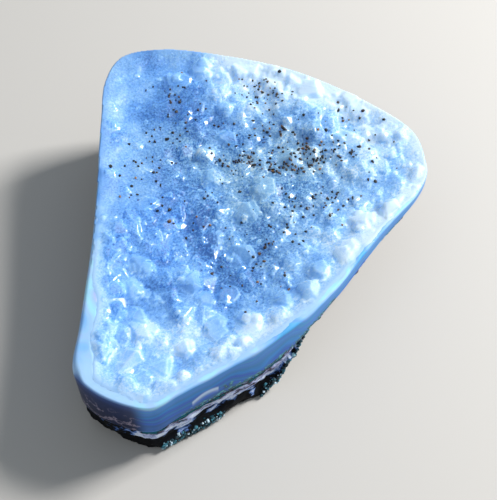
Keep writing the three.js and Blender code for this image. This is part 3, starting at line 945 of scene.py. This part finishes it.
is_large = (owner_at >= 0) & (owner_at < large_count)
at_border = np.any([owner_at != other for other in beside_each(owner_at)], axis=0)
outline = at_border * np.where(owner_at < large_count, 1.0, SMALL_OUTLINE)
outline = outline / 2 + sum(beside_each(outline)) / 8
bend = sheet - sum(beside_each(sheet)) / 4
thick = smooth((inside + FEATHER) / THICK_OVER)
dusky = dusky_at(sheet_xy)
on_sheet_values = {
    "tone": own_tone,
    "pale": pale_at(sheet_xy) + LARGE_PALER * is_large * thin_edge,
    "ridge": np.clip(bend / RIDGE_BEND, -1.0, 1.0),
    "proud": np.clip((sheet - bed) / FULL_HEIGHT, 0.0, 1.0),
    "outline": outline * thin_edge,
    "gloss": own_tone * ease(inside, *GLINTS_FROM),
    "dusky": dusky,
    "thick": thick,
    "veil": (VEIL + DUSKY_VEIL * dusky) * thick * (1.0 - LARGE_CLEARER * is_large),
}
underneath = np.zeros(len(druse_points) - top_count)
druse = add_piece(
    "druse",
    druse_points,
    druse_faces,
    "quartz",
    True,
    **{key: np.append(value[used], underneath) for key, value in on_sheet_values.items()},
)
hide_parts("crystal_crust")

# %% [markdown]
# ## Small grains
#
# Two minerals lie on the specimen as grains too small for a shape of their own. Goethite, an iron
# mineral, settled on the quartz as black to golden-brown grains of about half a millimetre, in
# swarms. Celadonite and zeolite, teal and white, crust the ledges of the rock. Hundreds of objects
# would be slow to handle, so each kind is one mesh. A grain is a lumpy ball of twenty faces, half
# set into what it lies on.

# %% Grains as one mesh
LUMPINESS = (0.6, 1.25)  # each corner of a grain stands in or out
STRETCH = (0.7, 1.3)  # each grain is longer or shorter along each axis

golden = (1 + math.sqrt(5)) / 2
ball = np.array([
    (a * x, b * y, c * z)
    for x, y, z in ((0, 1, golden), (1, golden, 0), (golden, 0, 1))
    for a, b, c in itertools.product((-1, 1), repeat=3)
])
ball = np.unique(ball, axis=0) / math.sqrt(1 + golden**2)
gaps = np.linalg.norm(ball[:, None] - ball[None], axis=-1)
near = np.isclose(gaps, np.min(gaps[gaps > 0.1]))
ball_faces = []
for a, b, c in itertools.combinations(range(len(ball)), 3):
    if near[a, b] and near[b, c] and near[a, c]:
        outwards = np.dot(np.cross(ball[a], ball[b]), ball[c]) > 0
        ball_faces.append((a, b, c) if outwards else (a, c, b))


def add_grains(name, places, radii, slot):
    """One mesh of lumpy balls at the places, with a tone per grain."""
    count, corners = len(places), len(ball)
    lumpy = rng.uniform(*LUMPINESS, (count, corners, 1)) * rng.uniform(*STRETCH, (count, 1, 3))
    points = places[:, None] + ball[None] * lumpy * radii[:, None, None]
    faces = np.array(ball_faces)[None] + corners * np.arange(count)[:, None, None]
    faces = faces.reshape(-1, 3)
    tone = np.repeat(rng.uniform(0, 1, count), corners)
    return add_piece(name, points.reshape(-1, 3), faces.tolist(), slot, False, tone=tone)


# %% Set the specks on the crystals
# x, y, spread along x and along y, and the number of grains in each swarm.
SWARMS = (
    (-17.5, 24.0, 3.0, 8.0, 50),
    (0.4, 28.8, 2.8, 1.6, 48),
    (-3.0, 13.0, 1.2, 0.9, 26),
    (4.6, 10.8, 2.6, 0.9, 46),
    (10.0, 14.2, 3.6, 1.8, 90),
    (2.0, 19.0, 5.0, 2.4, 36),
    (13.0, 3.9, 2.6, 2.4, 30),
    (7.2, 0.5, 3.0, 2.5, 20),
    (-25.0, 9.5, 4.0, 4.0, 30),
    (-7.0, 12.5, 3.0, 2.5, 20),
    (20.0, 14.0, 3.0, 4.5, 22),
    (18.5, 23.0, 3.5, 2.5, 16),
    (3.0, -6.0, 4.0, 4.0, 30),
    (-12.0, 0.0, 3.5, 4.0, 14),
    (-3.0, -13.0, 4.5, 3.0, 14),
    (-5.0, 5.0, 16.0, 18.0, 26),
)
GRAIN_SIZES = (0.2, 0.42)
GRAIN_SHARES = (0.7, 1.0)  # times this, which makes the largest grains the fewest
GRAIN_RISE = 0.2
GRAINS_WITHIN = 0.96  # they lie within this share of the way to the hollow's edge

spots = np.vstack([
    np.array(swarm[:2]) + rng.normal(0, 1, (swarm[4], 2)) * swarm[2:4] for swarm in SWARMS
])
spots = spots[share_of_hollow(spots) < GRAINS_WITHIN]
here_x = np.searchsorted(x_line, spots[:, 0])
here_y = np.searchsorted(y_line, spots[:, 1])
spot_at = np.column_stack([x_line[here_x], y_line[here_y], sheet[here_y, here_x]])
spot_radii = rng.uniform(*GRAIN_SIZES, len(spot_at)) * rng.uniform(*GRAIN_SHARES, len(spot_at))
spot_at[:, 2] += GRAIN_RISE * spot_radii
goethite_specks = add_grains("goethite_specks", spot_at, spot_radii, "quartz")

# %% Set teal and white grains on the ledges
LEDGE_GRAINS = 380
LEDGE_GRAIN_SIZES = (0.12, 0.38)
LEDGE_ROWS = int(0.3 * SIDE_ROWS)  # rows of the side, from the foot up, that they may lie on
ON_LEDGE = (0.2, 1.0)  # a point takes grains where its ledge value is above a random one
LEAST_HEIGHT = 0.3  # keeps them off the table
first = 1 + UNDER_ROWS * COLUMNS
low_on_side = rock_points[first : first + LEDGE_ROWS * COLUMNS]
takes_grains = ledge_at(low_on_side[:, :2]) > rng.uniform(*ON_LEDGE, len(low_on_side))
ledge_points = low_on_side[takes_grains]
ledge_places = rng.choice(ledge_points, LEDGE_GRAINS)
ledge_places[:, 2] = np.maximum(ledge_places[:, 2], LEAST_HEIGHT)
ledge_radii = rng.uniform(*LEDGE_GRAIN_SIZES, LEDGE_GRAINS)
celadonite_grains = add_grains("celadonite_grains", ledge_places, ledge_radii, "basalt")

# %% [markdown]
# ## Materials
#
# One small function adds a node with its settings and links. Colours are sRGB hex values, and one
# function turns them to the linear values that a shader works with. Patterns read Object
# coordinates, which are metres here, so a noise of lumps n mm wide has a scale of 1000 / n. What is
# the same all over a surface is set on the shader's own socket, so that an export can read it.


# %% Two helpers for all the materials
def linear(colour):
    """An sRGB hex value as linear red, green and blue, with alpha 1."""
    parts = [int(colour[i : i + 2], 16) / 255 for i in (1, 3, 5)]
    return [p / 12.92 if p <= 0.04045 else ((p + 0.055) / 1.055) ** 2.4 for p in parts] + [1.0]


def add(tree, kind, settings=None, stops=None, **inputs):
    """Adds a node. Settings go on the node, stops on its ramp, and inputs on its sockets.

    An input's key is the socket's name with _ for each space, or s and its number. Its value is a
    constant, one output of another node, or that node itself, which stands for its first output.
    """
    made = tree.nodes.new("ShaderNode" + kind)
    for key, value in (settings or {}).items():
        setattr(made, key, value)
    if stops:
        ramp = made.color_ramp.elements
        for place, colour in stops[2:]:
            ramp.new(place)
        for element, (place, colour) in zip(ramp, stops):
            element.position = place
            element.color = linear(colour)
    for key, value in inputs.items():
        socket = made.inputs[int(key[1:]) if key[1:].isdigit() else key.replace("_", " ")]
        if isinstance(value, bpy.types.Node):
            value = value.outputs[0]
        if isinstance(value, bpy.types.NodeSocket):
            tree.links.new(value, socket)
        else:
            socket.default_value = value
    return made


def new_material(name, *pieces):
    """A material with an empty node tree, put on the pieces. It returns the tree."""
    material = bpy.data.materials.new(name)
    material.use_nodes = True
    material.node_tree.nodes.clear()
    for piece in pieces:
        piece.data.materials.append(material)
    return material.node_tree


def per_mm(size):
    """The scale of a noise whose lumps are this many millimetres wide."""
    return 1000.0 / size


# %% [markdown]
# ### Drusy quartz, as grown
#
# Quartz has an IOR of 1.544. The crystals take the light in, let a little through, and scatter the
# rest in a milky blue body, blue furthest, because it is the colour that comes back out. A body of
# real fog inside clear crystals would look the same, but takes many times as long to render.
#
# One number, the paleness, sets the colour. It starts from how pale this part of the druse is, and
# adds what the mesh says of each point. Much of that is painted light and shade: paler edges, rims
# and tips, and faces paler or bluer for the light each refracts. A cloudy speckle stands for the
# fine growth lines of the faces. The real ones are a tenth of a millimetre apart, and are drawn four
# times as coarse so that they show. Faces grew mirror-flat, but most are dull from where the viewer
# stands.

# %% The quartz
# Painted light and shade: tone, ridge, outline and proud add paleness to faces, edges, rims and
# tips.
TONE_GAIN, RIDGE_GAIN, OUTLINE_GAIN, PROUD_GAIN = 0.3, 0.16, 0.2, 0.15

tree = new_material("drusy_quartz_as_grown", druse)
place = add(tree, "TexCoord").outputs["Object"]
here = {
    name: add(tree, "Attribute", {"attribute_name": name}).outputs["Fac"]
    for name in on_sheet_values
}
speckle = add(tree, "TexNoise", Vector=place, Scale=per_mm(0.4), Detail=3.0, Roughness=0.75)
cloudy = add(tree, "Math", {"operation": "SUBTRACT"}, s0=speckle, s1=0.5)
paleness = here["pale"]
for value, gain in (
    (here["tone"], TONE_GAIN),
    (here["ridge"], RIDGE_GAIN),
    (here["outline"], OUTLINE_GAIN),
    (here["proud"], PROUD_GAIN),
    (cloudy, here["veil"]),
):
    paleness = add(tree, "Math", {"operation": "MULTIPLY_ADD"}, s0=value, s1=gain, s2=paleness)
body = add(
    tree,
    "ValToRGB",
    stops=[(0.0, "#2E60A8"), (0.3, "#6099DE"), (0.65, "#92C2F2"), (1.0, "#CFE6FB")],
    Fac=paleness,
)
greyed = add(
    tree,
    "MixRGB",
    {"blend_type": "MULTIPLY"},
    Fac=here["dusky"],
    Color1=body,
    Color2=linear("#EEEADC"),
)
# Some faces are frosted, in patches of a few millimetres.
grain = add(tree, "TexNoise", Vector=place, Scale=per_mm(0.35), Detail=3.0)
patch = add(tree, "TexNoise", Vector=place, Scale=per_mm(3.5), Detail=1.0)
frost = add(tree, "MapRange", s0=patch, s1=0.5, s2=0.62, s3=0.1, s4=0.9)
bump = add(tree, "Bump", Strength=frost, Distance=0.08 * MM, Height=grain)
roughness = add(tree, "MapRange", s0=here["gloss"], s1=0.45, s2=0.55, s3=0.55, s4=0.08)
milky = add(tree, "Math", {"operation": "MULTIPLY"}, s0=here["thick"], s1=0.9)
shader = add(
    tree,
    "BsdfPrincipled",
    {"subsurface_method": "BURLEY"},
    Base_Color=greyed,
    Roughness=roughness,
    IOR=1.544,
    Transmission_Weight=0.1,
    Subsurface_Weight=milky,
    Subsurface_Radius=(1.8, 2.6, 4.0),
    Subsurface_Scale=MM,
    Normal=bump,
)
add(tree, "OutputMaterial", Surface=shader)

# %% [markdown]
# ### Chalcedony, ground and polished
#
# Chalcedony is waxy rather than glassy: it has an IOR of 1.535, a soft gloss, and light spreads a
# millimetre or two under its surface. It grew in layers, so its colour follows the depth under the
# lip, pale at the lip and deep blue below, with faint bands that wander a little. The deep blue is
# partly painted shade, for the front wall that faces away from the light. The bands are a noise
# along that depth alone, which wraps round any outline. A picture of bands would have seams.

# %% The chalcedony's bands
tree = new_material("chalcedony_ground_and_polished", agate)
place = add(tree, "TexCoord").outputs["Object"]
here = {
    name: add(tree, "Attribute", {"attribute_name": name}).outputs["Fac"]
    for name in ("below_lip", "end_facet", "arc", "fleck")
}
drift = add(tree, "TexNoise", Vector=place, Scale=per_mm(10.0), Detail=2.0)
depth, layer = (
    add(tree, "Math", {"operation": "MULTIPLY_ADD"}, s0=drift, s1=wander, s2=here["below_lip"])
    for wander in (3.0, 5.0)
)
# Painted shade: the deep blues lower down darken the wall, which faces away from the light.
share = add(tree, "MapRange", s0=depth, s1=1.5, s2=11.5)
plain = add(
    tree,
    "ValToRGB",
    stops=[
        (0.0, "#A9D0F6"),
        (0.02, "#90BEEE"),
        (0.06, "#4A94DC"),
        (0.3, "#2278CE"),
        (0.7, "#1C60B0"),
        (1.0, "#2C72BE"),
    ],
    Fac=share,
)
lines = add(tree, "TexNoise", {"noise_dimensions": "1D"}, W=layer, Scale=1.1, Detail=3.0)
banded = add(
    tree, "MixRGB", {"blend_type": "OVERLAY"}, Fac=0.7, Color1=plain, Color2=lines.outputs["Color"]
)

# %% [markdown]
# Three things lie over the bands, each mixed in where its value on the mesh is high: the end facet
# with its healed cracks, painted dark as the shade on a face turned from the light, the pale arc,
# and the flecks of celadonite. The cracks are where a noise passes one value, which draws a thin
# line that never crosses itself.

# %% The end facet, the arc and the flecks
# Painted shade: below its pale lip the end facet is coloured nearly black-blue, as it faces away
# from the light.
share = add(tree, "MapRange", s0=here["below_lip"], s1=0.0, s2=10.0)
end_facet_shade = add(
    tree,
    "ValToRGB",
    stops=[
        (0.0, "#A9D0F6"),
        (0.02, "#7094CA"),
        (0.06, "#2C4A88"),
        (0.25, "#182C5C"),
        (0.8, "#0C1A40"),
    ],
    Fac=share,
)
folds = add(tree, "TexNoise", Vector=place, Scale=per_mm(7.0), Detail=5.0, Roughness=0.6)
crack = add(tree, "Math", {"operation": "COMPARE"}, s0=folds, s1=0.48, s2=0.012)
low_down = add(tree, "MapRange", s0=here["below_lip"], s1=3.0, s2=6.0, s4=0.6)
cracked = add(tree, "Math", {"operation": "MULTIPLY"}, s0=crack, s1=low_down)
healed = add(tree, "MixRGB", Fac=cracked, Color1=end_facet_shade, Color2=linear("#A79BB0"))
spots_in = add(tree, "TexNoise", Vector=place, Scale=per_mm(0.8), Detail=3.0, Roughness=0.6)
fleck_share = add(
    tree, "Math", {"operation": "MULTIPLY_ADD"}, s0=here["fleck"], s1=0.4, s2=spots_in
)
flecked = add(tree, "MapRange", s0=fleck_share, s1=0.78, s2=0.82)
fleck_colour = add(
    tree, "ValToRGB", stops=[(0.35, "#04080C"), (0.5, "#0E4654"), (0.65, "#5CB4C4")], Fac=spots_in
)
colour = banded
for amount, over in (
    (here["end_facet"], healed),
    (here["arc"], linear("#C6DEFA")),
    (flecked, fleck_colour),
):
    colour = add(tree, "MixRGB", Fac=amount, Color1=colour, Color2=over)
shader = add(
    tree,
    "BsdfPrincipled",
    Base_Color=colour,
    Roughness=0.32,
    IOR=1.535,
    Specular_IOR_Level=0.14,
    Subsurface_Weight=0.25,
    Subsurface_Radius=(0.8, 1.0, 1.4),
    Subsurface_Scale=MM,
)
add(tree, "OutputMaterial", Surface=shader)

# %% [markdown]
# ### Basalt with its seam and skin
#
# The broken rock is dull and nearly black. At the agate runs a crumbly seam, white to blue, with
# teal above it, and the foot has a skin of teal celadonite with pale grains. The `zone` value runs
# from 0 at the agate to 1 at the foot, and each layer is a step of one ramp. Noise added to the
# zone makes the steps ragged, which no painted border would be.

# %% The basalt
tree = new_material("basalt_broken", rock)
place = add(tree, "TexCoord").outputs["Object"]
zone, ledge = (
    add(tree, "Attribute", {"attribute_name": name}).outputs["Fac"] for name in ("zone", "ledge")
)
# The streaks run along the seam, so the noise is three times as long sideways as it is high.
streaky = add(tree, "Mapping", Vector=place, Scale=(0.35, 0.35, 1.0))
ragged = add(tree, "TexNoise", Vector=streaky, Scale=per_mm(1.2), Detail=6.0, Roughness=0.66)
offset = add(tree, "Math", {"operation": "MULTIPLY_ADD"}, s0=ragged, s1=1.1, s2=-0.55)
shifted = add(tree, "Math", {"operation": "ADD"}, s0=zone, s1=offset)
side = add(
    tree,
    "ValToRGB",
    stops=[
        (0.0, "#246A78"),
        (0.04, "#0A2028"),
        (0.09, "#554A58"),
        (0.15, "#A8B4E0"),
        (0.25, "#E8F2FF"),
        (0.32, "#86A6E0"),
        (0.37, "#40609C"),
        (0.41, "#05070C"),
        (0.62, "#0E1218"),
        (0.76, "#050608"),
        (1.0, "#0B0E12"),
    ],
    Fac=shifted,
)
fine = add(tree, "TexNoise", Vector=place, Scale=per_mm(0.7), Detail=3.0, Roughness=0.6)
skin = add(
    tree,
    "ValToRGB",
    stops=[(0.47, "#04080B"), (0.56, "#0F2E38"), (0.66, "#347F8C"), (0.76, "#B4E0EE")],
    Fac=fine,
)
near_foot = add(tree, "MapRange", s0=shifted, s1=0.7, s2=0.78)
on_ledge = add(tree, "Math", {"operation": "MULTIPLY"}, s0=ledge, s1=near_foot)
layers = add(tree, "MixRGB", Fac=on_ledge, Color1=side, Color2=skin)
shader = add(tree, "BsdfPrincipled", Base_Color=layers, Roughness=0.85, Specular_IOR_Level=0.2)
add(tree, "OutputMaterial", Surface=shader)

# %% [markdown]
# ### The grains
#
# Goethite is a hard iron mineral with a lustre between metal and resin, black with some brown
# grains. Celadonite is a dull clay-like mineral, teal here, and the zeolite between its grains is
# white. In both, each grain's own tone picks its colour from a ramp.

# %% Goethite, celadonite and zeolite
for name, piece, stops, gloss in (
    (
        "goethite_grains",
        goethite_specks,
        [(0.66, "#090706"), (0.86, "#3E2714"), (1.0, "#8F6428")],
        {"Roughness": 0.5, "IOR": 2.0, "Specular_IOR_Level": 0.25},
    ),
    (
        "celadonite_grains",
        celadonite_grains,
        [(0.0, "#04141C"), (0.5, "#104654"), (0.78, "#4C98AC"), (0.92, "#D2ECFA")],
        {"Roughness": 0.6},
    ),
):
    tree = new_material(name, piece)
    tone = add(tree, "Attribute", {"attribute_name": "tone"}).outputs["Fac"]
    colour = add(tree, "ValToRGB", stops=stops, Fac=tone)
    shader = add(tree, "BsdfPrincipled", Base_Color=colour, **gloss)
    add(tree, "OutputMaterial", Surface=shader)

# %% [markdown]
# ## The stage
#
# A plain pale floor and soft studio light. The main light comes from the right and behind, as the
# glints and the dark left side show. A lamp 160 mm wide, close by, gives shadows with soft edges. A
# weak fill and a bluish surround lighten the front. The camera looks down at 55 degrees.

# %% Floor, lights and camera
bpy.ops.mesh.primitive_plane_add(size=3.0)
floor = bpy.context.object
floor.name = "floor"
floor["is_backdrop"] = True
tree = new_material("plain_pale_floor", floor)
shader = add(tree, "BsdfPrincipled", Base_Color=linear("#C4C0BA"), Roughness=0.7)
add(tree, "OutputMaterial", Surface=shader)

scene = bpy.context.scene
world = bpy.data.worlds.new("studio")
scene.world = world
world.use_nodes = True
background = world.node_tree.nodes["Background"]
background.inputs["Color"].default_value = (0.8, 0.9, 1.0, 1.0)
background.inputs["Strength"].default_value = 0.36

TARGET = Vector((-2.35, -6.3, 16.0)) * MM
for name, stand, wide, power in (
    ("key", (0.42, 0.2, 0.42), 0.16, 5.8),
    ("fill", (-0.35, -0.45, 0.5), 0.5, 0.3),
):
    lamp = bpy.data.lights.new(name, "AREA")
    lamp.size = wide
    lamp.energy = power
    light = bpy.data.objects.new(name, lamp)
    light.location = stand
    light.rotation_euler = (TARGET - light.location).to_track_quat("-Z", "Y").to_euler()
    scene.collection.objects.link(light)

ELEVATION = math.radians(55.0)
DISTANCE = 165.0 * MM
SENSOR_WIDTH, FOCAL_LENGTH = 36.0, 64.8
lens = bpy.data.cameras.new("camera")
lens.sensor_width = SENSOR_WIDTH
lens.lens = FOCAL_LENGTH
lens.clip_start = 0.01
camera = bpy.data.objects.new("camera", lens)
camera.location = TARGET + DISTANCE * Vector((0.0, -math.cos(ELEVATION), math.sin(ELEVATION)))
camera.rotation_euler = (math.pi / 2 - ELEVATION, 0.0, 0.0)
scene.collection.objects.link(camera)
scene.camera = camera
scene.view_settings.view_transform = "Standard"

# %% Check the size and finish
new_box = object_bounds()
for corner, cad, new in zip(("lowest", "highest"), cad_box, new_box):
    print(corner, [round(c / MM, 1) for c in cad], "->", [round(c / MM, 1) for c in new])
